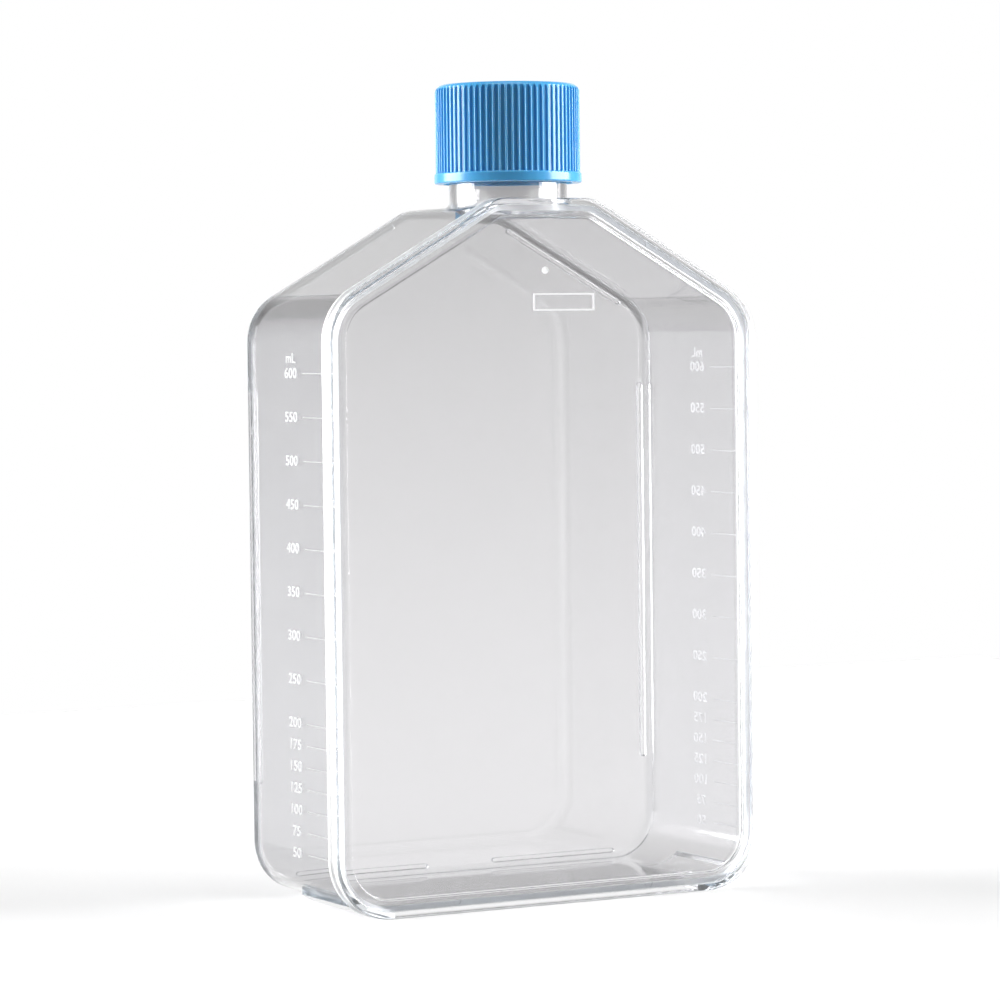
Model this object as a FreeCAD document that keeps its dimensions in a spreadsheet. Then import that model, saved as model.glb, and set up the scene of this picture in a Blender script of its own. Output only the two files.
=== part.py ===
"""Cell culture flask with a screw cap: a moulded clear tub with a neck, its bonded front
plate, a ribbed vented cap and the gas membrane inside the cap.

Millimetres. The flask stands upright on its rim and feet, neck towards +Z, and its front
plate looks towards -Y. The origin is the middle of its bounding box's underside.
"""
import FreeCAD, Part
import math
import os

import Sketcher
from FreeCAD import Placement, Rotation, Vector

doc = FreeCAD.newDocument("CellCultureFlask")

# ---------------------------------------------------------------------------
# Driving sizes
# ---------------------------------------------------------------------------
sizes = doc.addObject("Spreadsheet::Sheet", "Sizes")

DRIVING = (
    # the tub's outer wall, seen from the front
    ("wall_half_width", 57.0, "middle of the tub to the outside of a side wall"),
    ("foot_height", 1.5, "underside of the floor wall above the bench"),
    ("shoulder_height", 24.9, "crown above the sharp corner of side wall and shoulder"),
    ("shoulder_angle", 29.6, "slope of the shoulders, in degrees"),
    ("crown_height", 168.5, "top of the flat that carries the neck"),
    ("corner_radius", 13.0, "floor and shoulder corners of the outer wall"),
    ("crown_radius", 9.0, "corners between the shoulders and the crown"),
    ("wall", 1.5, "wall of the tub"),
    ("back_edge_radius", 1.4, "outer edge round the back wall"),
    ("cavity_edge_radius", 1.8, "inner edge round the back wall"),
    # front to back
    ("overall_depth", 50.3, "front of the rim to the tops of the stacking ribs"),
    ("rim_depth", 4.6, "depth of the rim round the tub's mouth"),
    ("rim_proud", 1.5, "rim outside the wall"),
    ("rim_edge_radius", 0.5, "outer edges of the rim"),
    ("lip_width", 1.7, "lip of the rim that surrounds the front plate"),
    ("seat_depth", 2.6, "ledge that carries the front plate, behind the lip"),
    # front plate
    ("plate_gap", 0.1, "between the plate's edge and the lip"),
    ("plate_bond", 0.05, "adhesive between the ledge and the back of the plate"),
    ("plate_sink", 0.2, "plate's border behind the front of the lip"),
    ("plate_border", 2.7, "width of the plate's border"),
    ("plate_recess", 1.2, "face of the plate behind its border"),
    ("recess_radius", 0.5, "foot of the step between the border and the face"),
    ("plate_edge_radius", 0.2, "front edges of the plate's border"),
    ("pin_mark_radius", 1.0, "ejector pin mark on the border"),
    ("pin_mark_depth", 0.15, "depth of an ejector pin mark"),
    ("pin_mark_height", 95.0, "pin marks on the side borders"),
    ("pin_mark_spacing", 26.5, "pin marks left and right of the middle"),
    # feet and stacking ribs
    ("foot_inner", 15.0, "outside of a side wall to the inner end of a foot"),
    ("foot_outer", 4.0, "outside of a side wall to the outer end of a foot"),
    ("foot_reach", 30.0, "front of the rim to the back of a foot"),
    ("stack_rib_height", 1.0, "stacking ribs behind the back wall"),
    ("stack_rib_width", 1.5, "width of a stacking rib"),
    ("stack_rib_radius", 0.35, "edges of a stacking rib"),
    ("stack_rib_inset", 3.0, "rib's middle line inside the outer wall"),
    ("side_rib_low", 29.0, "lower end of a side rib"),
    ("side_rib_high", 19.6, "upper end of a side rib below the shoulder's sharp corner"),
    ("floor_rib_start", 10.0, "middle of the flask to the start of a floor rib"),
    ("floor_rib_end", 13.0, "outside of a side wall to the end of a floor rib"),
    ("shoulder_rib_start", 16.2, "middle of the flask to the start of a shoulder rib"),
    ("shoulder_rib_end", 9.4, "outside of a side wall to the end of a shoulder rib"),
    # neck
    ("neck_setback", 19.2, "front of the rim to the neck's axis"),
    ("neck_radius", 14.35, "outside of the neck"),
    ("neck_wall", 1.9, "wall of the neck"),
    ("neck_flare", 1.8, "hollow where the neck meets the crown"),
    ("mouth_gap", 0.2, "mouth of the neck below the cap's sealing land"),
    ("mouth_radius", 0.5, "edges of the neck's mouth"),
    ("thread_lead", 5.0, "rise of the thread in one turn"),
    ("thread_height", 1.0, "thread ridge above its wall"),
    ("thread_sink", 0.3, "foot of a thread ridge inside its wall"),
    ("thread_foot", 2.2, "width of a thread ridge at its foot"),
    ("thread_crest", 0.9, "width of a thread ridge at its crest"),
    ("thread_clearance", 0.35, "crest of one thread to the other's wall"),
    ("neck_thread_start", 10.5, "crown to the start of the neck's thread"),
    ("neck_thread_rise", 7.5, "height that the neck's thread climbs"),
    ("cap_thread_rise", 5.0, "height that the cap's thread climbs"),
    # cap
    ("cap_bottom", 5.6, "open end of the cap above the crown"),
    ("cap_height", 23.9, "open end to the top of the cap"),
    ("cap_wall", 1.45, "wall of the cap between its ribs"),
    ("cap_top_wall", 1.6, "top of the cap"),
    ("cap_edge_radius", 2.2, "edge round the top of the cap"),
    ("cap_edge_lead", 0.08, "rounding meets the ribs and the top at a slight angle"),
    ("cap_well_radius", 12.2, "shallow well in the top of the cap"),
    ("cap_well_depth", 0.6, "depth of the well in the top of the cap"),
    ("band_height", 2.5, "plain band at the open end of the cap"),
    ("band_proud", 0.35, "band outside the tips of the ribs"),
    ("band_edge_radius", 0.4, "edges of the band"),
    ("grip_rib_count", 72, "grip ribs round the cap"),
    ("grip_rib_width", 0.62, "width of a grip rib"),
    ("grip_rib_height", 0.42, "grip rib outside the wall"),
    ("land_height", 0.9, "sealing land below the underside of the cap's top"),
    ("land_width", 1.2, "width of the sealing land"),
    ("vent_count", 8, "vent holes in the top of the cap"),
    ("vent_radius", 1.6, "radius of a vent hole"),
    ("vent_circle", 7.4, "vent holes from the cap's axis"),
    ("membrane_thickness", 0.3, "gas membrane with its backing"),
    ("membrane_margin", 0.3, "membrane inside the sealing land"),
)
for row, (alias, value, meaning) in enumerate(DRIVING, start=1):
    sizes.set(f"A{row}", alias)
    sizes.set(f"B{row}", str(value))
    sizes.set(f"C{row}", meaning)
    sizes.setAlias(f"B{row}", alias)
doc.recompute()


def size(alias):
    """The value of one driving size."""
    return float(sizes.get(alias))


def total(terms):
    """A sum of driving sizes: terms is a list of (factor, alias)."""
    return sum(factor * size(alias) for factor, alias in terms)


def formula(terms):
    """The same sum as an expression on the sheet."""
    return " + ".join(f"({factor}) * Sizes.{alias}" for factor, alias in terms) or "0"


def minus(terms, others):
    """One sum less another."""
    return terms + [(-factor, alias) for factor, alias in others]


def tied(terms):
    """A sum of sizes as the pair of its value and its expression."""
    return total(terms), formula(terms)


# Sums of driving sizes that several pieces share. Depths are positions along Y.
FRONT = [(-0.5, "overall_depth")]
RIM_BACK = FRONT + [(1, "rim_depth")]
SEAT = FRONT + [(1, "seat_depth")]
PLATE_BACK = SEAT + [(-1, "plate_bond")]
BACK = [(0.5, "overall_depth"), (-1, "stack_rib_height")]
NECK_AXIS = FRONT + [(1, "neck_setback")]
SHOULDER = [(1, "crown_height"), (-1, "shoulder_height")]
CAP_BOTTOM = [(1, "crown_height"), (1, "cap_bottom")]
CAP_TOP = CAP_BOTTOM + [(1, "cap_height")]
CAP_CEILING = CAP_TOP + [(-1, "cap_top_wall")]
LAND_FACE = CAP_CEILING + [(-1, "land_height")]
MOUTH = LAND_FACE + [(-1, "mouth_gap")]
NECK_BORE = [(1, "neck_radius"), (-1, "neck_wall")]
CAP_BORE = [(1, "neck_radius"), (1, "thread_height"), (1, "thread_clearance")]
CAP_WALL_OUT = CAP_BORE + [(1, "cap_wall")]
CAP_RIB_TIP = CAP_WALL_OUT + [(1, "grip_rib_height")]
CAP_BAND = CAP_RIB_TIP + [(1, "band_proud")]
LAND_OUT = [(1, "neck_radius")]
LAND_IN = LAND_OUT + [(-1, "land_width")]
RIM = [(1, "rim_proud")]
CAVITY = [(-1, "wall")]
PLATE_SEAT = RIM + [(-1, "lip_width")]
PLATE = PLATE_SEAT + [(-1, "plate_gap")]
PLATE_FACE = PLATE + [(-1, "plate_border")]
AXIS = []
ZERO = tied(AXIS)
# Edges are told apart by their place, to within this distance.
NEAR = 0.01


# ---------------------------------------------------------------------------
# Sketching helpers
# ---------------------------------------------------------------------------
def new_body(name):
    body = doc.addObject("PartDesign::Body", name)
    body.Label = name
    return body


def plane_of(body, role):
    """One of the body's own origin planes."""
    return next(item for item in body.Origin.OriginFeatures if item.Role == role)


def front_sketch(body, name, depth):
    """A sketch that faces the front, at a depth along Y: its x is X, its y is Z."""
    sketch = body.newObject("Sketcher::SketchObject", name)
    sketch.AttachmentSupport = [(plane_of(body, "XZ_Plane"), "")]
    sketch.MapMode = "FlatFace"
    # The normal of XZ_Plane is -Y.
    normal = [(-factor, alias) for factor, alias in depth]
    sketch.AttachmentOffset = Placement(Vector(0, 0, total(normal)), Rotation())
    sketch.setExpression("AttachmentOffset.Base.z", formula(normal))
    return sketch


def level_sketch(body, name, height):
    """A level sketch at a height, whose origin is on the neck's axis: its x is X, its y is Y."""
    sketch = body.newObject("Sketcher::SketchObject", name)
    sketch.AttachmentSupport = [(plane_of(body, "XY_Plane"), "")]
    sketch.MapMode = "FlatFace"
    place = Vector(0, total(NECK_AXIS), total(height))
    sketch.AttachmentOffset = Placement(place, Rotation())
    sketch.setExpression("AttachmentOffset.Base.y", formula(NECK_AXIS))
    sketch.setExpression("AttachmentOffset.Base.z", formula(height))
    return sketch


def bind(sketch, index, expression):
    """Ties the datum of a constraint to the sheet."""
    name = f"size_{index}"
    sketch.renameConstraint(index, name)
    sketch.setExpression(f"Constraints.{name}", expression)


def at(sketch, geometry, point, x_terms, y_terms):
    """Places one point of a sketch from the origin, with both sizes tied to the sheet."""
    for kind, terms in (("DistanceX", x_terms), ("DistanceY", y_terms)):
        constraint = Sketcher.Constraint(kind, -1, 1, geometry, point, total(terms))
        bind(sketch, sketch.addConstraint(constraint), formula(terms))


def polygon(sketch, corners):
    """A closed polygon whose corners are pairs of sums, each tied to the sheet."""
    points = [Vector(total(x_terms), total(y_terms), 0) for x_terms, y_terms in corners]
    first = sketch.GeometryCount
    count = len(points)
    for index in range(count):
        sketch.addGeometry(Part.LineSegment(points[index], points[(index + 1) % count]))
    for index in range(count):
        following = first + (index + 1) % count
        sketch.addConstraint(Sketcher.Constraint("Coincident", first + index, 2, following, 1))
    for index, (x_terms, y_terms) in enumerate(corners):
        at(sketch, first + index, 1, x_terms, y_terms)


def outline(body, name, depth, offset):
    """The flask's six-sided front outline with rounded corners, moved out by an offset.

    Each side keeps its direction and its distance from the sketch's origin, and each
    corner grows or shrinks with the offset, so that all the outlines are parallel.
    """
    sketch = front_sketch(body, name, depth)
    inward = [(-factor, alias) for factor, alias in offset]
    slope = math.radians(size("shoulder_angle"))
    slant = f"(({formula(SHOULDER)}) * cos(Sizes.shoulder_angle * 1 deg)"
    slant += " + Sizes.wall_half_width * sin(Sizes.shoulder_angle * 1 deg))"
    slant_distance = total(SHOULDER) * math.cos(slope)
    slant_distance += size("wall_half_width") * math.sin(slope) + total(offset)
    # (direction of travel, distance of the line to the right of the origin)
    sides = (
        (0.0, -total([(1, "foot_height")] + inward)),
        (math.pi / 2, total([(1, "wall_half_width")] + offset)),
        (math.pi - slope, slant_distance),
        (math.pi, total([(1, "crown_height")] + offset)),
        (math.pi + slope, slant_distance),
        (-math.pi / 2, total([(1, "wall_half_width")] + offset)),
    )
    radii = ("corner_radius", "corner_radius", "crown_radius")
    radii += ("crown_radius", "corner_radius", "corner_radius")

    def sharp_corner(index):
        """Where side index meets the next side."""
        (a, p), (b, q) = sides[index], sides[(index + 1) % len(sides)]
        turn = math.sin(b - a)
        x = (q * math.cos(a) - p * math.cos(b)) / turn
        y = (q * math.sin(a) - p * math.sin(b)) / turn
        return Vector(x, y, 0)

    corners = [sharp_corner(index) for index in range(len(sides))]
    arcs = []
    for index, corner in enumerate(corners):
        a = sides[index][0]
        b = sides[(index + 1) % len(sides)][0]
        radius = total([(1, radii[index])] + offset)
        turn = (b - a) % (2 * math.pi)
        back = radius * math.tan(turn / 2)
        start = corner - Vector(math.cos(a), math.sin(a), 0) * back
        centre = start + Vector(-math.sin(a), math.cos(a), 0) * radius
        circle = Part.Circle(centre, Vector(0, 0, 1), radius)
        arcs.append(Part.ArcOfCircle(circle, a - math.pi / 2, a - math.pi / 2 + turn))
    for index in range(len(sides)):
        line = Part.LineSegment(arcs[index - 1].EndPoint, arcs[index].StartPoint)
        sketch.addGeometry(line)
    for arc in arcs:
        sketch.addGeometry(arc)
    count = len(sides)
    for index in range(count):
        arc = count + index
        sketch.addConstraint(Sketcher.Constraint("Tangent", index, 2, arc, 1))
        sketch.addConstraint(Sketcher.Constraint("Tangent", arc, 2, (index + 1) % count, 1))
        terms = [(1, radii[index])] + offset
        radius = Sketcher.Constraint("Radius", arc, total(terms))
        bind(sketch, sketch.addConstraint(radius), formula(terms))
    for index in (0, 3):
        sketch.addConstraint(Sketcher.Constraint("Horizontal", index))
    for index in (1, 5):
        sketch.addConstraint(Sketcher.Constraint("Vertical", index))
    floor = [(1, "foot_height")] + inward
    datum = Sketcher.Constraint("DistanceY", -1, 1, 0, 1, total(floor))
    bind(sketch, sketch.addConstraint(datum), formula(floor))
    crown = [(1, "crown_height")] + offset
    datum = Sketcher.Constraint("DistanceY", -1, 1, 3, 1, total(crown))
    bind(sketch, sketch.addConstraint(datum), formula(crown))
    width = [(1, "wall_half_width")] + offset
    datum = Sketcher.Constraint("DistanceX", -1, 1, 1, 1, total(width))
    bind(sketch, sketch.addConstraint(datum), formula(width))
    datum = Sketcher.Constraint("DistanceX", 5, 1, -1, 1, total(width))
    bind(sketch, sketch.addConstraint(datum), formula(width))
    for index, direction, angle in (
        (2, math.pi - slope, "180 deg - Sizes.shoulder_angle * 1 deg"),
        (4, math.pi + slope, "180 deg + Sizes.shoulder_angle * 1 deg"),
    ):
        datum = Sketcher.Constraint("Angle", index, direction)
        bind(sketch, sketch.addConstraint(datum), angle)
        datum = Sketcher.Constraint("Distance", -1, 1, index, slant_distance)
        bind(sketch, sketch.addConstraint(datum), f"{slant} + {formula(offset)}")
    return sketch


def pad(body, name, sketch, length, towards_back=True):
    """Adds material behind a front sketch, by a length that is a sum of sizes."""
    feature = body.newObject("PartDesign::Pad", name)
    feature.Profile = sketch
    feature.Length = total(length)
    feature.setExpression("Length", formula(length))
    feature.Reversed = towards_back
    return feature


def pocket(body, name, sketch, length, towards_back=True):
    """Takes material away behind a front sketch, by a length that is a sum of sizes."""
    feature = body.newObject("PartDesign::Pocket", name)
    feature.Profile = sketch
    feature.Length = total(length)
    feature.setExpression("Length", formula(length))
    # A pocket runs against its sketch's normal, which is -Y on XZ_Plane.
    feature.Reversed = not towards_back
    return feature


def slot(sketch, start, end, radius):
    """A round-ended slot between two centres.

    Each centre is a pair of (value, expression) for x and y, and radius is one more.
    """
    (x0, y0), (x1, y1) = [(x[0], y[0]) for x, y in (start, end)]
    turn = math.atan2(y1 - y0, x1 - x0)
    side = Vector(-math.sin(turn), math.cos(turn), 0) * radius[0]
    p0 = Vector(x0, y0, 0)
    p1 = Vector(x1, y1, 0)
    first = sketch.GeometryCount
    normal = Vector(0, 0, 1)
    quarter = math.pi / 2
    sketch.addGeometry(Part.LineSegment(p0 - side, p1 - side))
    tip = Part.ArcOfCircle(Part.Circle(p1, normal, radius[0]), turn - quarter, turn + quarter)
    sketch.addGeometry(tip)
    sketch.addGeometry(Part.LineSegment(p1 + side, p0 + side))
    tail = Part.ArcOfCircle(Part.Circle(p0, normal, radius[0]), turn + quarter, turn - quarter)
    sketch.addGeometry(tail)
    for index in range(4):
        following = first + (index + 1) % 4
        sketch.addConstraint(Sketcher.Constraint("Tangent", first + index, 2, following, 1))
    for arc, centre in ((first + 1, end), (first + 3, start)):
        datum = Sketcher.Constraint("Radius", arc, radius[0])
        bind(sketch, sketch.addConstraint(datum), radius[1])
        for kind, (value, expression) in zip(("DistanceX", "DistanceY"), centre):
            datum = Sketcher.Constraint(kind, -1, 1, arc, 3, value)
            bind(sketch, sketch.addConstraint(datum), expression)


def circle(sketch, x, y, radius):
    """A circle: x, y and radius are pairs of a value and an expression."""
    centre = Vector(x[0], y[0], 0)
    index = sketch.addGeometry(Part.Circle(centre, Vector(0, 0, 1), radius[0]))
    datum = Sketcher.Constraint("Radius", index, radius[0])
    bind(sketch, sketch.addConstraint(datum), radius[1])
    for kind, (value, expression) in zip(("DistanceX", "DistanceY"), (x, y)):
        datum = Sketcher.Constraint(kind, -1, 1, index, 3, value)
        bind(sketch, sketch.addConstraint(datum), expression)


def edges_where(feature, test):
    """Names of the edges of a feature whose bounding box passes a test."""
    doc.recompute()
    numbered = enumerate(feature.Shape.Edges, start=1)
    return [f"Edge{index}" for index, edge in numbered if test(edge.BoundBox)]


def fillet(body, name, base, edges, radius):
    """Rounds edges of the last feature of a body, with a radius that is a driving size."""
    feature = body.newObject("PartDesign::Fillet", name)
    feature.Base = (base, edges)
    feature.Radius = size(radius)
    feature.setExpression("Radius", f"Sizes.{radius}")
    doc.recompute()
    return feature


def slant_height(x, inset):
    """Height of a line beside the shoulder, inside the outer wall by one sum, at another."""
    slope = math.radians(size("shoulder_angle"))
    from_wall = minus([(1, "wall_half_width")], x)
    value = total(SHOULDER) + total(from_wall) * math.tan(slope)
    value -= total(inset) / math.cos(slope)
    angle = "(Sizes.shoulder_angle * 1 deg)"
    rise = f"({formula(from_wall)}) * tan({angle})"
    drop = f"({formula(inset)}) / cos({angle})"
    return value, f"{formula(SHOULDER)} + {rise} - {drop}"


def on_side(side, terms):
    """A sum of sizes measured to the left (-1) or to the right (1)."""
    return [(side * factor, alias) for factor, alias in terms]


# ---------------------------------------------------------------------------
# Tub: walls, rim, feet, neck and stacking ribs are one moulding
# ---------------------------------------------------------------------------
flask = new_body("flask_body")

rim_outline = outline(flask, "rim_outline", FRONT, RIM)
rim = pad(flask, "rim", rim_outline, [(1, "rim_depth")])
rim_loops = edges_where(rim, lambda box: box.YLength < NEAR)
fillet(flask, "rim_edge", rim, rim_loops, "rim_edge_radius")

wall_outline = outline(flask, "wall_outline", SEAT, [])
tub = pad(flask, "tub", wall_outline, minus(BACK, SEAT))
back_plane = total(BACK)
back_loop = edges_where(tub, lambda box: box.YMin > back_plane - NEAR)
fillet(flask, "back_edge", tub, back_loop, "back_edge_radius")


def foot(side):
    """A foot: the rim's bottom corner carried on towards the back, left (-1) or right (1)."""
    start = RIM_BACK + [(-1, "rim_edge_radius")]
    sketch = front_sketch(flask, f"foot_outline_{side}", start)
    radius = [(1, "corner_radius")] + RIM
    centre_x = [(1, "wall_half_width"), (-1, "corner_radius")]
    centre_y = [(1, "foot_height"), (1, "corner_radius")]
    inner_end = [(1, "wall_half_width"), (-1, "foot_inner")]
    outer_end = [(1, "wall_half_width"), (-1, "foot_outer")]
    outer = total(outer_end)
    drop = math.sqrt(total(radius) ** 2 - (outer - total(centre_x)) ** 2)
    low = total(centre_y) - drop
    top = total(centre_y)
    corner = Vector(side * total(centre_x), total(centre_y) - total(radius), 0)
    inner = Vector(side * total(inner_end), corner.y, 0)
    outside = Vector(side * outer, low, 0)
    middle = Vector(side * total(centre_x), total(centre_y), 0)
    arc = Part.Circle(middle, Vector(0, 0, 1), total(radius))
    ends = (corner, outside) if side > 0 else (outside, corner)
    angles = [math.atan2(point.y - middle.y, point.x - middle.x) for point in ends]
    sketch.addGeometry(Part.ArcOfCircle(arc, angles[0], angles[1]))
    sketch.addGeometry(Part.LineSegment(inner, corner))
    sketch.addGeometry(Part.LineSegment(outside, Vector(outside.x, top, 0)))
    sketch.addGeometry(Part.LineSegment(Vector(outside.x, top, 0), Vector(inner.x, top, 0)))
    sketch.addGeometry(Part.LineSegment(Vector(inner.x, top, 0), inner))
    at_corner, at_outside = (1, 2) if side > 0 else (2, 1)
    join = Sketcher.Constraint
    sketch.addConstraint(join("Tangent", 1, 2, 0, at_corner))
    sketch.addConstraint(join("Coincident", 0, at_outside, 2, 1))
    for index in (2, 3):
        sketch.addConstraint(join("Coincident", index, 2, index + 1, 1))
    sketch.addConstraint(join("Coincident", 4, 2, 1, 1))
    sketch.addConstraint(join("Horizontal", 1))
    sketch.addConstraint(join("Vertical", 2))
    sketch.addConstraint(join("Horizontal", 3))
    sketch.addConstraint(join("Vertical", 4))
    bind(sketch, sketch.addConstraint(join("Radius", 0, total(radius))), formula(radius))
    at(sketch, 0, 3, on_side(side, centre_x), centre_y)
    for index, end in ((2, outer_end), (4, inner_end)):
        datum = join("DistanceX", -1, 1, index, 1, side * total(end))
        bind(sketch, sketch.addConstraint(datum), formula(on_side(side, end)))
    datum = join("DistanceY", -1, 1, 3, 1, top)
    bind(sketch, sketch.addConstraint(datum), formula(centre_y))
    back = FRONT + [(1, "foot_reach")]
    return pad(flask, f"foot_{side}", sketch, minus(back, start))


for side in (-1, 1):
    foot(side)

neck_outline = level_sketch(flask, "neck_outline", [(1, "crown_height"), (-2, "wall")])
circle(neck_outline, ZERO, ZERO, tied([(1, "neck_radius")]))
neck = pad(flask, "neck", neck_outline, MOUTH + [(-1, "crown_height"), (2, "wall")], False)
doc.recompute()


crown_plane = size("crown_height")
neck_radius = size("neck_radius")


def round_the_neck(box):
    """The two edges where the outside of the neck meets the flat of the crown."""
    flat = abs(box.ZMin - crown_plane) < NEAR and abs(box.ZMax - crown_plane) < NEAR
    curved = box.XLength > NEAR and box.YLength > NEAR
    return flat and curved and box.YLength < 2 * neck_radius + NEAR


# The flare runs on by itself down the rounded corners of the crown.
fillet(flask, "neck_base", neck, edges_where(neck, round_the_neck), "neck_flare")

cavity_outline = outline(flask, "cavity_outline", FRONT, CAVITY)
cavity = pocket(flask, "cavity", cavity_outline, minus(BACK, FRONT) + CAVITY)
cavity_end = total(BACK + CAVITY)
cavity_loop = edges_where(cavity, lambda box: box.YMin > cavity_end - NEAR > box.YMax - 2 * NEAR)
fillet(flask, "cavity_edge", cavity, cavity_loop, "cavity_edge_radius")

seat_outline = outline(flask, "seat_outline", FRONT, PLATE_SEAT)
pocket(flask, "plate_seat", seat_outline, [(1, "seat_depth")])

bore_outline = level_sketch(flask, "bore_outline", MOUTH)
circle(bore_outline, ZERO, ZERO, tied(NECK_BORE))
bore = flask.newObject("PartDesign::Pocket", "bore")
bore.Profile = bore_outline
bore_length = MOUTH + [(-1, "crown_height"), (3, "wall")]
bore.Length = total(bore_length)
bore.setExpression("Length", formula(bore_length))

mouth_plane = total(MOUTH)
mouth = edges_where(bore, lambda box: box.ZMin > mouth_plane - NEAR)
fillet(flask, "mouth_edge", bore, mouth, "mouth_radius")


def thread_profile(sketch, wall_radius, outward, start):
    """A trapezoid for a thread ridge, with its foot a little inside the wall."""
    root = wall_radius + [(-outward, "thread_sink")]
    crest = wall_radius + [(outward, "thread_height")]
    corners = []
    corners += [(root, start + [(half, "thread_foot")]) for half in (-0.5, 0.5)]
    corners += [(crest, start + [(half, "thread_crest")]) for half in (0.5, -0.5)]
    polygon(sketch, corners)


def thread(body, name, wall_radius, outward, start, rise):
    """A helical ridge on a wall round the neck's axis, starting on the +X side."""
    sketch = front_sketch(body, f"{name}_profile", NECK_AXIS)
    thread_profile(sketch, wall_radius, outward, start)
    helix = body.newObject("PartDesign::AdditiveHelix", name)
    helix.Profile = sketch
    helix.ReferenceAxis = (sketch, ["V_Axis"])
    helix.Mode = "pitch-height-angle"
    helix.Pitch = size("thread_lead")
    helix.setExpression("Pitch", "Sizes.thread_lead")
    helix.Height = size(rise)
    helix.setExpression("Height", f"Sizes.{rise}")
    helix.LeftHanded = False
    helix.Reversed = False
    return helix


neck_thread_start = [(1, "crown_height"), (1, "neck_thread_start")]
thread(flask, "neck_thread", [(1, "neck_radius")], 1, neck_thread_start, "neck_thread_rise")

rib_sketch = front_sketch(flask, "stack_rib_outline", BACK)
rib_end = tied([(0.5, "stack_rib_width")])
inset = [(1, "stack_rib_inset")]
side_line = minus([(1, "wall_half_width")], inset)
side_top = minus(SHOULDER, [(1, "side_rib_high")])
floor_start = [(1, "floor_rib_start")]
floor_end = [(1, "wall_half_width"), (-1, "floor_rib_end")]
slope_start = [(1, "shoulder_rib_start")]
slope_end = [(1, "wall_half_width"), (-1, "shoulder_rib_end")]
for side in (-1, 1):
    x = tied(on_side(side, side_line))
    slot(rib_sketch, (x, tied([(1, "side_rib_low")])), (x, tied(side_top)), rib_end)
    floor = tied([(1, "foot_height")] + inset)
    inner, outer = tied(on_side(side, floor_start)), tied(on_side(side, floor_end))
    slot(rib_sketch, (inner, floor), (outer, floor), rib_end)
    upper = tied(on_side(side, slope_start)), slant_height(slope_start, inset)
    lower = tied(on_side(side, slope_end)), slant_height(slope_end, inset)
    slot(rib_sketch, upper, lower, rib_end)
stack_ribs = pad(flask, "stack_ribs", rib_sketch, [(1, "stack_rib_height")])
doc.recompute()
back_most = 0.5 * size("overall_depth")
tips = edges_where(stack_ribs, lambda box: box.YMin > back_most - NEAR)
fillet(flask, "stack_rib_edge", stack_ribs, tips, "stack_rib_radius")

# ---------------------------------------------------------------------------
# Front plate: a flat cover that stands in the lip of the rim
# ---------------------------------------------------------------------------
plate = new_body("front_plate")
PLATE_FRONT = FRONT + [(1, "plate_sink")]
plate_outline = outline(plate, "plate_outline", PLATE_FRONT, PLATE)
pad(plate, "slab", plate_outline, minus(PLATE_BACK, PLATE_FRONT))
face_outline = outline(plate, "face_outline", PLATE_FRONT, PLATE_FACE)
recess = pocket(plate, "recess", face_outline, [(1, "plate_recess")])
face_plane = total(PLATE_FRONT) + size("plate_recess")
step = edges_where(recess, lambda box: box.YLength < NEAR and abs(box.YMin - face_plane) < NEAR)
recess_step = fillet(plate, "recess_step", recess, step, "recess_radius")
plate_front_plane = total(PLATE_FRONT)
front_edges = edges_where(recess_step, lambda box: box.YMax < plate_front_plane + NEAR)
fillet(plate, "plate_edge", recess_step, front_edges, "plate_edge_radius")

mark_sketch = front_sketch(plate, "pin_mark_outline", PLATE_FRONT)
mark_radius = tied([(1, "pin_mark_radius")])
border_middle = minus([(0.5, "plate_border")], PLATE)
border_line = minus([(1, "wall_half_width")], border_middle)
spacing = [(1, "pin_mark_spacing")]
for side in (-1, 1):
    x = tied(on_side(side, border_line))
    circle(mark_sketch, x, tied([(1, "pin_mark_height")]), mark_radius)
    x = tied(on_side(side, spacing))
    circle(mark_sketch, x, tied([(1, "foot_height")] + border_middle), mark_radius)
    circle(mark_sketch, x, slant_height(spacing, border_middle), mark_radius)
pocket(plate, "pin_marks", mark_sketch, [(1, "pin_mark_depth")])

# ---------------------------------------------------------------------------
# Cap: skirt with grip ribs, plain band, top with vent holes, sealing land and thread
# ---------------------------------------------------------------------------
cap = new_body("cap")
skirt_sketch = front_sketch(cap, "cap_section", NECK_AXIS)
BAND_TOP = CAP_BOTTOM + [(1, "band_height")]
polygon(
    skirt_sketch,
    (
        (CAP_BORE, CAP_BOTTOM),
        (CAP_BAND, CAP_BOTTOM),
        (CAP_BAND, BAND_TOP),
        (CAP_WALL_OUT, BAND_TOP),
        (CAP_WALL_OUT, CAP_TOP),
        (AXIS, CAP_TOP),
        (AXIS, CAP_CEILING),
        (LAND_IN, CAP_CEILING),
        (LAND_IN, LAND_FACE),
        (LAND_OUT, LAND_FACE),
        (LAND_OUT, CAP_CEILING),
        (CAP_BORE, CAP_CEILING),
    ),
)
shell = cap.newObject("PartDesign::Revolution", "shell")
shell.Profile = skirt_sketch
shell.ReferenceAxis = (skirt_sketch, ["V_Axis"])
shell.Angle = 360
doc.recompute()
band_radius = total(CAP_BAND)
band = edges_where(shell, lambda box: box.XMax > band_radius - NEAR and box.ZLength < NEAR)
fillet(cap, "band_edge", shell, band, "band_edge_radius")

well_outline = level_sketch(cap, "well_outline", CAP_TOP)
circle(well_outline, ZERO, ZERO, tied([(1, "cap_well_radius")]))
well = cap.newObject("PartDesign::Pocket", "well")
well.Profile = well_outline
well.Length = size("cap_well_depth")
well.setExpression("Length", "Sizes.cap_well_depth")

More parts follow.
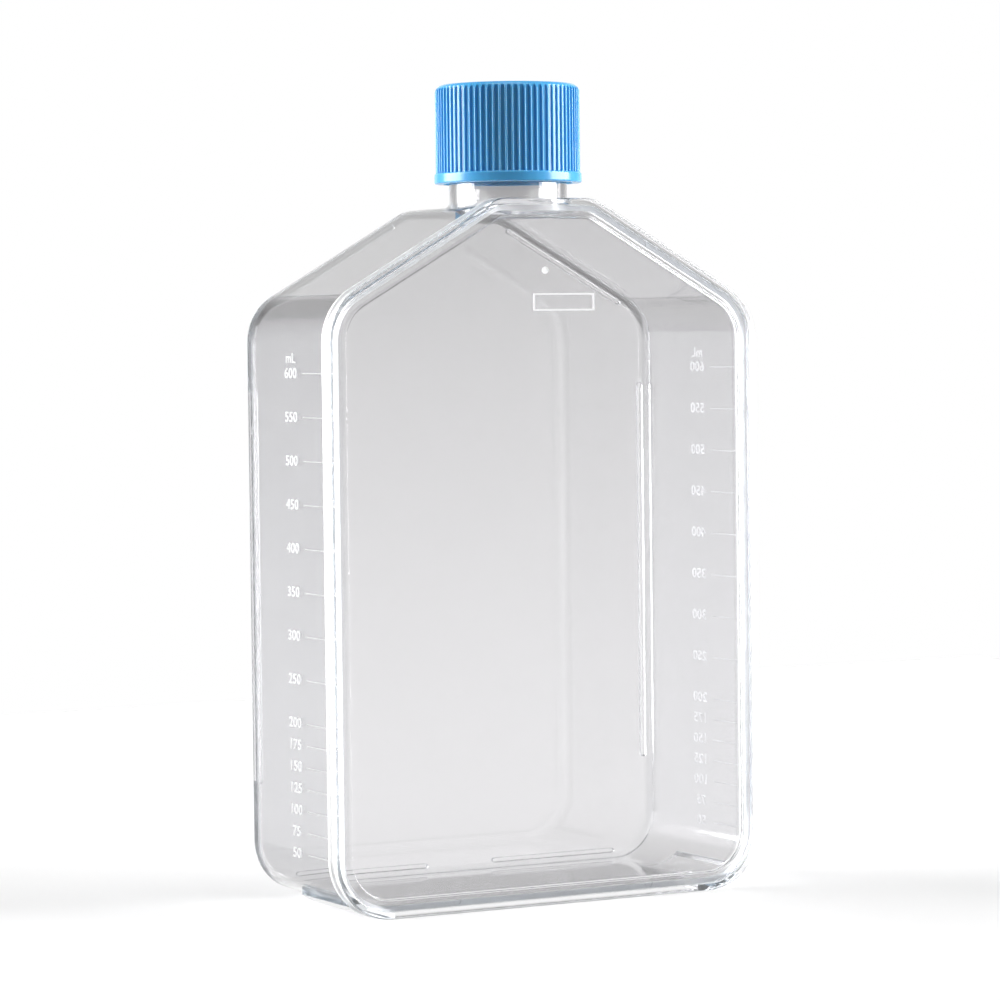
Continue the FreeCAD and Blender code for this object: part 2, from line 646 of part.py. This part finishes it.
vent_outline = level_sketch(cap, "vent_outline", CAP_TOP)
circle(vent_outline, tied([(1, "vent_circle")]), ZERO, tied([(1, "vent_radius")]))
vent = cap.newObject("PartDesign::Pocket", "vent")
vent.Profile = vent_outline
vent.Length = size("cap_top_wall")
vent.setExpression("Length", "Sizes.cap_top_wall")
doc.recompute()
vents = cap.newObject("PartDesign::PolarPattern", "vents")
vents.Originals = [vent]
vents.Axis = (vent_outline, ["N_Axis"])
vents.Angle = 360
vents.Occurrences = int(size("vent_count"))
vents.setExpression("Occurrences", "Sizes.vent_count")
cap.Tip = vents
doc.recompute()

# The cap's ridge runs midway between two turns of the neck's.
cap_thread_start = neck_thread_start + [(0.5, "thread_lead")]
thread(cap, "cap_thread", CAP_BORE, -1, cap_thread_start, "cap_thread_rise")
doc.recompute()

rib_outline = level_sketch(cap, "grip_rib_outline", BAND_TOP)
rib_root = tied(CAP_WALL_OUT + [(-0.5, "cap_wall")])
rib_tip = tied(CAP_RIB_TIP + [(-0.5, "grip_rib_width")])
slot(rib_outline, (rib_root, ZERO), (rib_tip, ZERO), tied([(0.5, "grip_rib_width")]))
grip_rib = cap.newObject("PartDesign::Pad", "grip_rib")
grip_rib.Profile = rib_outline
rib_length = minus(CAP_TOP, BAND_TOP)
grip_rib.Length = total(rib_length)
grip_rib.setExpression("Length", formula(rib_length))
doc.recompute()
grip_ribs = cap.newObject("PartDesign::PolarPattern", "grip_ribs")
grip_ribs.Originals = [grip_rib]
grip_ribs.Axis = (rib_outline, ["N_Axis"])
grip_ribs.Angle = 360
grip_ribs.Occurrences = int(size("grip_rib_count"))
grip_ribs.setExpression("Occurrences", "Sizes.grip_rib_count")
grip_ribs.Refine = False
cap.Tip = grip_ribs
doc.recompute()

edge_sketch = front_sketch(cap, "cap_edge_section", NECK_AXIS)
edge = "cap_edge_radius"
clear = [(1, edge)]
lead = [(1, "cap_edge_lead")]
arc_x = CAP_RIB_TIP + [(-1, edge)] + lead
arc_y = CAP_TOP + [(-1, edge)] + lead
middle = Vector(total(arc_x), total(arc_y), 0)
rounding = Part.Circle(middle, Vector(0, 0, 1), size(edge))
edge_sketch.addGeometry(Part.ArcOfCircle(rounding, 0, math.pi / 2))
low_in = middle + Vector(size(edge), 0, 0)
low_out = low_in + Vector(size(edge), 0, 0)
high_in = middle + Vector(0, size(edge), 0)
high_out = Vector(low_out.x, high_in.y + size(edge), 0)
high_mid = Vector(high_in.x, high_out.y, 0)
for start, end in ((low_in, low_out), (low_out, high_out), (high_out, high_mid), (high_mid, high_in)):
    edge_sketch.addGeometry(Part.LineSegment(start, end))
rule = Sketcher.Constraint
for one, other in ((0, 1), (1, 2), (2, 3), (3, 4)):
    edge_sketch.addConstraint(rule("Coincident", one, 1 if one == 0 else 2, other, 1))
edge_sketch.addConstraint(rule("Coincident", 4, 2, 0, 2))
for kind, index in (("Horizontal", 1), ("Vertical", 2), ("Horizontal", 3), ("Vertical", 4)):
    edge_sketch.addConstraint(rule(kind, index))
edge_sketch.addConstraint(rule("Horizontal", 0, 3, 0, 1))
edge_sketch.addConstraint(rule("Vertical", 0, 3, 0, 2))
at(edge_sketch, 0, 3, arc_x, arc_y)
datum = rule("Radius", 0, size(edge))
bind(edge_sketch, edge_sketch.addConstraint(datum), f"Sizes.{edge}")
at(edge_sketch, 2, 2, CAP_RIB_TIP + clear + lead, CAP_TOP + clear + lead)
cap_edge = cap.newObject("PartDesign::Groove", "cap_edge")
cap_edge.Profile = edge_sketch
cap_edge.ReferenceAxis = (edge_sketch, ["V_Axis"])
cap_edge.Angle = 360
cap_edge.Refine = False

# ---------------------------------------------------------------------------
# Gas membrane: a thin disc bonded under the vent holes, inside the sealing land
# ---------------------------------------------------------------------------
membrane = doc.addObject("Part::Cylinder", "vent_membrane")
membrane.Label = "vent_membrane"
membrane_radius = LAND_IN + [(-1, "membrane_margin")]
membrane.setExpression("Radius", formula(membrane_radius))
membrane.setExpression("Height", "Sizes.membrane_thickness")
membrane_low = CAP_CEILING + [(-1, "membrane_thickness")]
membrane.Placement = Placement(Vector(0, total(NECK_AXIS), total(membrane_low)), Rotation())
membrane.setExpression("Placement.Base.y", formula(NECK_AXIS))
membrane.setExpression("Placement.Base.z", formula(membrane_low))

# ---------------------------------------------------------------------------
# Checks and output
# ---------------------------------------------------------------------------
doc.recompute()
failed = [item.Name for item in doc.Objects if {"Invalid", "Error"} & set(item.State)]
if failed:
    raise RuntimeError(f"objects that did not compute: {failed}")
pieces = (flask, plate, cap, membrane)
for piece in pieces:
    shape = piece.Shape
    if shape.isNull() or not shape.isValid() or len(shape.Solids) != 1:
        raise RuntimeError(f"{piece.Label} is not one valid solid")
os.makedirs("parts", exist_ok=True)
for piece in pieces:
    piece.Shape.exportStep(f"parts/{piece.Label}.step")
    print(piece.Label, piece.Shape.BoundBox, round(piece.Shape.Volume, 1))
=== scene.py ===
import bpy
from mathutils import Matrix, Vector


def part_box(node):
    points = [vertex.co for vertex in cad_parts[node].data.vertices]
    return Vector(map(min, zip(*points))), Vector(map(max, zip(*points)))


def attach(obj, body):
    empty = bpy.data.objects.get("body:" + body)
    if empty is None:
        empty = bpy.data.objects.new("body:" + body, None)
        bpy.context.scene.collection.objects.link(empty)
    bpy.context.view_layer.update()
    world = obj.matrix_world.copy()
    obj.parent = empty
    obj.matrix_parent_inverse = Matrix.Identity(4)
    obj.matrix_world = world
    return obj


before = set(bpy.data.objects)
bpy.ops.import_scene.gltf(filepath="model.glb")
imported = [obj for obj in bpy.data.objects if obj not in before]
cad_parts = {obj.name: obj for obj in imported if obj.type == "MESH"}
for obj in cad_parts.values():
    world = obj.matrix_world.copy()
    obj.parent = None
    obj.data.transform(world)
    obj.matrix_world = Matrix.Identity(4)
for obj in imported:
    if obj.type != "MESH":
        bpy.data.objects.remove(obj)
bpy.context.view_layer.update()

import bpy
import math
from mathutils import Matrix, Vector

# ----------------------------------------------------------------------------------------
# The clear moulding: tub, rim, neck, feet and stacking ribs in one shot of polystyrene.
# It is polished inside and out, so what shows is what it bends, mirrors and soaks up.
# ----------------------------------------------------------------------------------------
def new_material(name):
    """A material and its Principled node."""
    material = bpy.data.materials.new(name)
    material.use_nodes = True
    return material, material.node_tree.nodes["Principled BSDF"]


def add_node(owner, kind, **values):
    """A node with its sockets set by name, and its properties where no socket has the name."""
    node = owner.node_tree.nodes.new(kind)
    for name, value in values.items():
        socket = node.inputs.get(name.replace("_", " "))
        if socket is None:
            setattr(node, name, value)
        else:
            socket.default_value = value
    return node


def link(owner, start, end):
    """Leads an output of one node to an input of another."""
    owner.node_tree.links.new(start, end)


def graded(owner, value, start, end, at_start=0.0, at_end=1.0):
    """Turns a value between start and end into one between at_start and at_end."""
    node = add_node(owner, "ShaderNodeMapRange", From_Min=start, From_Max=end)
    node.inputs["To Min"].default_value = at_start
    node.inputs["To Max"].default_value = at_end
    link(owner, value, node.inputs["Value"])
    return node.outputs["Result"]


def combined(owner, operation, *values):
    """Works out one value from one or two others."""
    node = add_node(owner, "ShaderNodeMath", operation=operation)
    for value, socket in zip(values, node.inputs):
        link(owner, value, socket)
    return node.outputs["Value"]


def tinted(owner, value, *stops):
    """Turns a value into a colour, from stops of a position and a colour each."""
    node = add_node(owner, "ShaderNodeValToRGB")
    elements = node.color_ramp.elements
    elements.remove(elements[1])
    elements[0].position, elements[0].color = stops[0][0], (*stops[0][1], 1.0)
    for position, colour in stops[1:]:
        elements.new(position).color = (*colour, 1.0)
    link(owner, value, node.inputs["Fac"])
    return node


def speckle(material, **values):
    """A noise pattern that is fixed to the piece."""
    place = add_node(material, "ShaderNodeTexCoord")
    noise = add_node(material, "ShaderNodeTexNoise", **values)
    link(material, place.outputs["Object"], noise.inputs["Vector"])
    return noise.outputs["Fac"]


def raised_skin(material, shader, pattern, strength, distance):
    """Lifts the skin a little where a pattern is bright."""
    skin = add_node(material, "ShaderNodeBump", Strength=strength, Distance=distance)
    link(material, pattern, skin.inputs["Height"])
    link(material, skin.outputs["Normal"], shader.inputs["Normal"])


POLYSTYRENE_IOR = 1.59
# Half widths at which a side wall starts and is full, and the back of the rim, which is
# satin for SATIN_DEPTH and polished in front of that.
SIDE_WALL_STARTS, SIDE_WALL_FULL = 0.0545, 0.0553
RIM_BACK = -0.0208
SATIN_DEPTH = 0.0041
SOFTENING = 0.0001


def clear_polystyrene(name, wave_scale, wave_height, satin_front):
    """Clear plastic with the faint waves that melt leaves as it flows and sets.

    Lamps shine through it, because a thin clear wall throws almost no shadow. In front of
    satin_front the mould was left satin, which turns a thick edge white.
    """
    material, plastic = new_material(name)
    # A few hundredths of haze in the skin lets light out that would stay in the walls.
    plastic.inputs["Transmission Weight"].default_value = 0.98
    plastic.inputs["IOR"].default_value = POLYSTYRENE_IOR
    place = add_node(material, "ShaderNodeTexCoord")
    parts = add_node(material, "ShaderNodeSeparateXYZ")
    link(material, place.outputs["Object"], parts.inputs["Vector"])
    # Painted shade and light: the side walls get a darker tint than the face, standing in for
    # the shade they show, and the rim is left colourless so that it reads brighter.
    outwards = combined(material, "ABSOLUTE", parts.outputs["X"])
    painted_side_shade = graded(material, outwards, SIDE_WALL_STARTS, SIDE_WALL_FULL, 0.5, 1.0)
    rim_end = satin_front + 2 * SOFTENING
    clear_of_rim = graded(material, parts.outputs["Y"], satin_front, rim_end)
    painted_shade_share = combined(material, "MULTIPLY", painted_side_shade, clear_of_rim)
    rim, face, side = (1.0, 1.0, 1.0), (0.878, 0.873, 0.880), (0.785, 0.783, 0.797)
    painted_shade_tints = tinted(material, painted_shade_share, (0.0, rim), (0.5, face), (1.0, side))
    link(material, painted_shade_tints.outputs["Color"], plastic.inputs["Base Color"])
    flow = speckle(material, Scale=wave_scale, Detail=1.0)
    raised_skin(material, plastic, flow, 0.12, wave_height)
    handling = speckle(material, Scale=60.0, Detail=3.0)
    polish = graded(material, handling, 0.35, 0.75, 0.012, 0.05)
    satin = graded(material, clear_of_rim, 0.0, 1.0, 0.42, 0.0)
    front = satin_front - SATIN_DEPTH
    behind_front = graded(material, parts.outputs["Y"], front - SOFTENING, front + SOFTENING)
    sides_only = combined(material, "MULTIPLY", satin, behind_front)
    finish = combined(material, "MAXIMUM", polish, sides_only)
    link(material, finish, plastic.inputs["Roughness"])
    # A wall that light meets at a glancing angle turns it away and throws a darker shadow.
    glancing = add_node(material, "ShaderNodeFresnel", IOR=POLYSTYRENE_IOR)
    spared = graded(material, glancing.outputs["Fac"], 0.0, 1.0, 1.01, 0.45)
    through = add_node(material, "ShaderNodeBsdfTransparent")
    link(material, spared, through.inputs["Color"])
    rays = add_node(material, "ShaderNodeLightPath")
    thin = add_node(material, "ShaderNodeMixShader")
    link(material, rays.outputs["Is Shadow Ray"], thin.inputs["Fac"])
    link(material, plastic.outputs["BSDF"], thin.inputs[1])
    link(material, through.outputs["BSDF"], thin.inputs[2])
    output = material.node_tree.nodes["Material Output"]
    link(material, thin.outputs["Shader"], output.inputs["Surface"])
    depth = add_node(material, "ShaderNodeVolumeAbsorption", Density=6.0)
    depth.inputs["Color"].default_value = (0.25, 0.42, 0.55, 1.0)
    link(material, depth.outputs["Volume"], output.inputs["Volume"])
    return material


flask_plastic = clear_polystyrene("clear_polystyrene_moulding", 14.0, 0.0002, RIM_BACK)
flask_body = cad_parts["flask_body"]
flask_body.material_slots[0].material = flask_plastic

# ----------------------------------------------------------------------------------------
# The front plate: a flat sheet of the same polystyrene, moulded with a raised border and
# bonded into the rim. Cells grow on its inner face, so it is the flattest wall of all.
# ----------------------------------------------------------------------------------------
NOWHERE_SATIN = -0.1
plate_plastic = clear_polystyrene("clear_polystyrene_plate", 9.0, 0.00012, NOWHERE_SATIN)
front_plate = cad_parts["front_plate"]
front_plate.material_slots[0].material = plate_plastic

# ----------------------------------------------------------------------------------------
# The screw cap: blue polyethylene, injection moulded, with fine grip ribs and a plain band.
# The plastic is a little waxy and lets some light in before it comes back out.
# ----------------------------------------------------------------------------------------
blue_plastic, blue = new_material("blue_polyethylene")
blue.inputs["Subsurface Weight"].default_value = 0.25
blue.inputs["Subsurface Radius"].default_value = (0.25, 0.6, 1.0)
blue.inputs["Subsurface Scale"].default_value = 0.0012
blue.inputs["IOR"].default_value = 1.58
pigment = speckle(blue_plastic, Scale=45.0, Detail=2.0)
blues = tinted(blue_plastic, pigment, (0.35, (0.09, 0.44, 0.82)), (0.70, (0.10, 0.46, 0.84)))
link(blue_plastic, blues.outputs["Color"], blue.inputs["Base Color"])
sheen = graded(blue_plastic, pigment, 0.3, 0.7, 0.16, 0.24)
link(blue_plastic, sheen, blue.inputs["Roughness"])
grain = speckle(blue_plastic, Scale=900.0, Detail=2.0)
raised_skin(blue_plastic, blue, grain, 0.15, 0.00005)
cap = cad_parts["cap"]
cap.material_slots[0].material = blue_plastic

# ----------------------------------------------------------------------------------------
# The gas membrane: white fibrous film with a microscopic pore, welded under the vent
# holes of the cap. It shows only as white discs at the bottom of the holes.
# ----------------------------------------------------------------------------------------
membrane_film, film = new_material("white_gas_membrane")
film.inputs["Roughness"].default_value = 0.85
fibre = speckle(membrane_film, Scale=2600.0, Detail=6.0, Roughness=0.7)
whites = tinted(membrane_film, fibre, (0.0, (0.70, 0.70, 0.69)), (1.0, (0.90, 0.90, 0.89)))
link(membrane_film, whites.outputs["Color"], film.inputs["Base Color"])
raised_skin(membrane_film, film, fibre, 0.4, 0.00008)
vent_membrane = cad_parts["vent_membrane"]
vent_membrane.material_slots[0].material = membrane_film

# ----------------------------------------------------------------------------------------
# The tick marks of the volume scale: thin raised bars moulded on both side walls, left
# frosted by the mould so that they read white against the clear wall.
# ----------------------------------------------------------------------------------------
def frosted_polystyrene(name, dark, light):
    """The same plastic where the mould is etched: it scatters light, and dark and light set
    how bright each copy is painted.
    """
    material, frost = new_material(name)
    spark = speckle(material, Scale=3000.0, Detail=3.0)
    frosting = graded(material, spark, 0.3, 0.7, 0.42, 0.66)
    link(material, frosting, frost.inputs["Roughness"])
    low, high = (dark, dark, dark * 1.015), (light, light, light * 1.015)
    whiteness = tinted(material, spark, (0.0, low), (1.0, high))
    link(material, whiteness.outputs["Color"], frost.inputs["Base Color"])
    raised_skin(material, frost, spark, 0.5, 0.00003)
    return material


# Painted shade: the ticks get a darker copy of the frosted plastic than the numbers.
painted_dim_frosted = frosted_polystyrene("lightly_frosted_polystyrene", 0.50, 0.60)


def pick_only(piece):
    """Makes one object the active one and the only one that operators act on."""
    bpy.ops.object.select_all(action="DESELECT")
    piece.select_set(True)
    bpy.context.view_layer.objects.active = piece


def pick_faces(piece, test):
    """In edit mode, selects only the faces that pass a test on the mesh's own polygons."""
    bpy.ops.object.mode_set(mode="EDIT")
    bpy.ops.mesh.select_mode(type="FACE")
    bpy.ops.mesh.select_all(action="DESELECT")
    bpy.ops.object.mode_set(mode="OBJECT")
    for face in piece.data.polygons:
        face.select = test(face)
    bpy.ops.object.mode_set(mode="EDIT")


def join(pieces, name):
    """Joins pieces into one object of that name."""
    bpy.ops.object.select_all(action="DESELECT")
    for piece in pieces:
        piece.select_set(True)
    bpy.context.view_layer.objects.active = pieces[0]
    if len(pieces) > 1:
        bpy.ops.object.join()
    whole = bpy.context.object
    whole.name = name
    whole.data.name = name
    return whole


flask_low, flask_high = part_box("flask_body")
front_face = flask_low.y
RIM_PROUD = 0.0015
wall_x = flask_high.x - RIM_PROUD
MARKS_ML = (50, 75, 100, 125, 150, 175, 200, 250, 300, 350, 400, 450, 500, 550, 600)
MARK_RISE = 0.00015
TICK_LENGTH = 0.0112
TICK_THICKNESS = 0.00036
TICK_MIDDLE = 0.01225
PER_ML = 0.01042 / 50
EMPTY_Z = 0.00367

bpy.ops.object.select_all(action="DESELECT")
bpy.ops.mesh.primitive_cube_add(size=1.0, location=(0.0, 0.0, 0.0))
tick = bpy.context.object
bpy.ops.object.mode_set(mode="EDIT")
bpy.ops.mesh.select_all(action="SELECT")
bpy.ops.transform.resize(value=(2 * MARK_RISE, TICK_LENGTH, TICK_THICKNESS))
bpy.ops.object.mode_set(mode="OBJECT")
# The crest of a bar is smaller than its foot, so that the mould lets go of it.
pick_faces(tick, lambda face: face.normal.x < -0.9)
bpy.ops.transform.resize(value=(1.0, 0.985, 0.55))
bpy.ops.object.mode_set(mode="OBJECT")
softened = tick.modifiers.new("softened", "BEVEL")
softened.width = 0.00005
softened.segments = 2
pick_only(tick)
bpy.ops.object.modifier_apply(modifier=softened.name)

for side, side_name in ((-1, "left"), (1, "right")):
    bars = []
    for amount in MARKS_ML:
        bar = tick.copy()
        bar.data = tick.data.copy()
        bpy.context.scene.collection.objects.link(bar)
        turn = Matrix.Rotation(math.pi if side > 0 else 0.0, 4, "Z")
        spot = Vector((side * wall_x, front_face + TICK_MIDDLE, EMPTY_Z + PER_ML * amount))
        bar.data.transform(Matrix.Translation(spot) @ turn)
        bars.append(bar)
    ticks = join(bars, f"volume_ticks_{side_name}")
    ticks.data.materials.append(painted_dim_frosted)
    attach(ticks, "flask")
bpy.data.objects.remove(tick)

# ----------------------------------------------------------------------------------------
# The numbers of the volume scale, and the unit above them: raised and frosted like the
# ticks. Each wall reads from its own side, with the numbers behind the ticks.
# ----------------------------------------------------------------------------------------
frosted = frosted_polystyrene("frosted_polystyrene", 0.72, 0.80)
DIGIT_HEIGHT = 0.0025
CAPITAL_SHARE = 0.72
NUMBER_MIDDLE = 0.0240
NUMBER_SEAT = 0.00006
UNIT_ABOVE = 0.0036


def raised_word(word, height, width_share):
    """A word as a closed raised mesh that faces +Z, centred on its own middle."""
    bpy.ops.object.select_all(action="DESELECT")
    bpy.ops.object.text_add(location=(0.0, 0.0, 0.0))
    text = bpy.context.object
    text.data.body = word
    text.data.align_x = "CENTER"
    text.data.align_y = "CENTER"
    text.data.size = height / CAPITAL_SHARE
    text.data.space_character = 1.05
    text.data.offset = 0.00003
    text.data.resolution_u = 4
    text.data.extrude = 0.00008
    bpy.ops.object.convert(target="MESH")
    letters = bpy.context.object
    bpy.ops.object.mode_set(mode="EDIT")
    bpy.ops.mesh.select_all(action="SELECT")
    bpy.ops.mesh.remove_doubles(threshold=0.000002)
    bpy.ops.mesh.normals_make_consistent(inside=False)
    bpy.ops.transform.resize(value=(width_share, 1.0, 1.0))
    bpy.ops.object.mode_set(mode="OBJECT")
    return letters


for side, side_name in ((-1, "left"), (1, "right")):
    # Letters face away from the wall: their own x runs along it, their own y up it.
    along = Vector((0.0, side, 0.0))
    facing = Matrix((along, (0.0, 0.0, 1.0), (side, 0.0, 0.0))).transposed().to_4x4()
    outside, behind_ticks = side * (wall_x + NUMBER_SEAT), front_face + NUMBER_MIDDLE
    labels = [(str(amount), 1.25, EMPTY_Z + PER_ML * amount) for amount in MARKS_ML]
    labels.append(("mL", 1.15, EMPTY_Z + PER_ML * MARKS_ML[-1] + UNIT_ABOVE))
    words = []
    for letters, width_share, level in labels:
        word = raised_word(letters, DIGIT_HEIGHT, width_share)
        spot = Vector((outside, behind_ticks, level))
        word.data.transform(Matrix.Translation(spot) @ facing)
        words.append(word)
    numbers = join(words, f"volume_numbers_{side_name}")
    numbers.data.materials.clear()
    numbers.data.materials.append(frosted)
    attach(numbers, "flask")

# ----------------------------------------------------------------------------------------
# The label frame: a thin raised outline on the outside of the front plate, empty inside,
# frosted like the volume marks and moulded with the plate.
# ----------------------------------------------------------------------------------------
# Painted light: the label frame and the gate mark get a brighter copy of the frosted plastic
# than the volume marks, so that they read white.
painted_bright_frosted = frosted_polystyrene("bright_frosted_polystyrene", 0.95, 0.98)
PLATE_RECESS = 0.0012
plate_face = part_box("front_plate")[0].y + PLATE_RECESS
LABEL_LEFT, LABEL_RIGHT = -0.0033, 0.0135
LABEL_LOW, LABEL_HIGH = 0.1430, 0.1472
LABEL_LINE = 0.0004
LABEL_THICKNESS = 0.0003
bpy.ops.object.select_all(action="DESELECT")
bpy.ops.mesh.primitive_plane_add(size=1.0)
label = bpy.context.object
bpy.ops.object.mode_set(mode="EDIT")
bpy.ops.mesh.select_all(action="SELECT")
bpy.ops.transform.resize(value=(LABEL_RIGHT - LABEL_LEFT, LABEL_HIGH - LABEL_LOW, 1.0))
bpy.ops.mesh.inset(thickness=LABEL_LINE, depth=0.0)
bpy.ops.mesh.delete(type="FACE")
bpy.ops.object.mode_set(mode="OBJECT")
thick = label.modifiers.new("thick", "SOLIDIFY")
thick.thickness = LABEL_THICKNESS
thick.offset = 0.0
pick_only(label)
bpy.ops.object.modifier_apply(modifier=thick.name)
middle = Vector(((LABEL_LEFT + LABEL_RIGHT) / 2, plate_face, (LABEL_LOW + LABEL_HIGH) / 2))
label.data.transform(Matrix.Translation(middle) @ Matrix.Rotation(math.pi / 2, 4, "X"))
label = join([label], "label_frame")
label.data.materials.append(painted_bright_frosted)
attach(label, "flask")

# ----------------------------------------------------------------------------------------
# The gate mark: the low round scar where the melt ran into the plate's mould. It is broken
# off and stands a fraction of a millimetre proud of the face, high up on the middle line.
# ----------------------------------------------------------------------------------------
GATE_RISE = 0.00018
GATE_RADIUS = 0.0009
GATE_Z = 0.1527
GATE_EDGE = 0.0003
GATE_HOLLOW = 0.00006
bpy.ops.object.select_all(action="DESELECT")
bpy.ops.mesh.primitive_cylinder_add(vertices=32, radius=GATE_RADIUS, depth=2 * GATE_RISE)
gate = bpy.context.object
pick_faces(gate, lambda face: face.normal.z > 0.9)
bpy.ops.mesh.inset(thickness=GATE_EDGE, depth=0.0)
bpy.ops.transform.translate(value=(0.0, 0.0, -GATE_HOLLOW))
bpy.ops.object.mode_set(mode="OBJECT")
rounded = gate.modifiers.new("rounded", "BEVEL")
rounded.width = 0.00006
rounded.segments = 2
pick_only(gate)
bpy.ops.object.modifier_apply(modifier=rounded.name)
spot = Vector((0.0, plate_face, GATE_Z))
gate.data.transform(Matrix.Translation(spot) @ Matrix.Rotation(math.pi / 2, 4, "X"))
gate = join([gate], "gate_mark")
gate.data.materials.append(painted_bright_frosted)
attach(gate, "flask")

# ----------------------------------------------------------------------------------------
# The bench: a pale matt table that the flask stands on. It only catches the flask's shadow:
# what shows in the clear walls and through them is the white paper behind and below, and
# the soft boxes at the sides.
# ----------------------------------------------------------------------------------------
bpy.ops.object.select_all(action="DESELECT")
BENCH_SIZE = 1.0
bpy.ops.mesh.primitive_plane_add(size=BENCH_SIZE, location=(0.0, 0.0, 0.0))
bench = bpy.context.object
bench.name = "bench"
bench_top, top = new_material("pale_bench")
top.inputs["Roughness"].default_value = 0.9
top.inputs["Specular IOR Level"].default_value = 0.1
speck = speckle(bench_top, Scale=15.0, Detail=2.0)
pale = tinted(bench_top, speck, (0.0, (0.86, 0.86, 0.86)), (1.0, (0.88, 0.88, 0.88)))
link(bench_top, pale.outputs["Color"], top.inputs["Base Color"])
bench.data.materials.append(bench_top)
bench.visible_glossy = False
bench.visible_diffuse = False
bench.visible_transmission = False

# ----------------------------------------------------------------------------------------
# Light and camera: white paper behind and below the flask, two tall soft boxes with a lamp
# each at its sides, a weak lamp above, and a long lens a little above the flask's middle.
# ----------------------------------------------------------------------------------------
scene = bpy.context.scene
scene.view_settings.view_transform = "Standard"
# Light that enters the rim runs down inside the walls and leaves at the back.
scene.cycles.max_bounces = 40
scene.cycles.transmission_bounces = 40
scene.cycles.glossy_bounces = 40

studio = bpy.data.worlds.new("studio")
scene.world = studio
studio.use_nodes = True
studio.node_tree.nodes.clear()
AZIMUTH, HEIGHT, ROLL = math.radians(-28.713), math.radians(2.434), math.radians(-0.673)
view_way = Vector((-math.sin(AZIMUTH), math.cos(AZIMUTH), 0.0))
direction = add_node(studio, "ShaderNodeTexCoord").outputs["Generated"]
parts = add_node(studio, "ShaderNodeSeparateXYZ")
link(studio, direction, parts.inputs["Vector"])
level = parts.outputs["Z"]


def towards(way):
    """How far a direction points along a way, from -1 to 1."""
    node = add_node(studio, "ShaderNodeVectorMath", operation="DOT_PRODUCT")
    node.inputs[1].default_value = way
    link(studio, direction, node.inputs[0])
    return node.outputs["Value"]


def white_light(strength):
    """White light of a strength that is a number or an output."""
    node = add_node(studio, "ShaderNodeBackground")
    node.inputs["Color"].default_value = (1.0, 1.0, 1.0, 1.0)
    if isinstance(strength, float):
        node.inputs["Strength"].default_value = strength
    else:
        link(studio, strength, node.inputs["Strength"])
    return node.outputs["Background"]


def chosen(kind_of_ray, otherwise, then):
    """One light for a kind of ray, and another for the rest."""
    mix = add_node(studio, "ShaderNodeMixShader")
    link(studio, rays.outputs[kind_of_ray], mix.inputs["Fac"])
    link(studio, otherwise, mix.inputs[1])
    link(studio, then, mix.inputs[2])
    return mix.outputs["Shader"]


# The walls mirror a lit paper behind the flask, and a dim room that is darker higher up.
behind = towards(view_way)
fall = graded(studio, level, -0.15, 0.045, 0.28, 0.05)
backdrop = graded(studio, behind, 0.70, 0.92)
mirrored = combined(studio, "MAXIMUM", fall, backdrop)
# Through the walls shows white paper, which gets less light higher up.
height = graded(studio, level, -0.15, 0.35)
shades = ((0.0, 1.0), (0.12, 0.96), (0.24, 0.78), (0.36, 0.61), (0.46, 0.22), (1.0, 0.12))
through = tinted(studio, height, *((spot, (shade, shade, shade)) for spot, shade in shades))
through.color_ramp.interpolation = "B_SPLINE"
ahead = graded(studio, behind, 0.2, 0.8, 0.95, 1.0)
paper = combined(studio, "MULTIPLY", through.outputs["Color"], ahead)
# Two tall soft boxes stand at the sides, from a little above the flask down to the bench.
SOFT_BOX = 1.9
either_side = combined(studio, "ABSOLUTE", towards((view_way.y, -view_way.x, 0.0)))
box_width = graded(studio, either_side, 0.62, 0.80, 0.0, SOFT_BOX)
box_top = graded(studio, level, 0.30, 0.45, SOFT_BOX, 0.0)
box_foot = graded(studio, level, -0.22, -0.12, 0.0, SOFT_BOX)
box_height = combined(studio, "MINIMUM", box_top, box_foot)
soft_boxes = combined(studio, "MINIMUM", box_width, box_height)
past = combined(studio, "MAXIMUM", paper, soft_boxes)
# Matt surfaces get a low even fill, and the camera sees plain white.
rays = add_node(studio, "ShaderNodeLightPath")
light = chosen("Is Glossy Ray", white_light(0.17), white_light(mirrored))
light = chosen("Is Transmission Ray", light, white_light(past))
light = chosen("Is Camera Ray", light, white_light(1.0))
world_out = add_node(studio, "ShaderNodeOutputWorld")
link(studio, light, world_out.inputs["Surface"])


def soft_sun(name, way, spread, power):
    """A far, wide soft light that shines along a direction and lights the bench evenly."""
    bpy.ops.object.light_add(type="SUN", location=(0.0, 0.0, 1.0))
    lamp = bpy.context.object
    lamp.name = name
    lamp.data.angle = math.radians(spread)
    lamp.data.energy = power
    lamp.rotation_euler = Vector(way).to_track_quat("-Z", "Y").to_euler()


soft_sun("light_left", (0.788, -0.566, -0.242), 46.0, 5.2)
soft_sun("light_right", (-0.850, 0.460, -0.242), 46.0, 5.2)
soft_sun("light_above", (0.05, 0.10, -1.00), 40.0, 0.7)

CAMERA_PLACE = (-0.4607, -0.8410, 0.1376)
bpy.ops.object.camera_add()
camera = bpy.context.object
camera.name = "camera"
camera.data.sensor_width = 36.0
camera.data.lens = 140.7
camera.data.clip_start = 0.05
camera.data.clip_end = 50.0
look = Matrix.Rotation(AZIMUTH, 4, "Z") @ Matrix.Rotation(math.pi / 2 - HEIGHT, 4, "X")
look = look @ Matrix.Rotation(ROLL, 4, "Z")
camera.matrix_world = Matrix.Translation(CAMERA_PLACE) @ look
scene.camera = camera
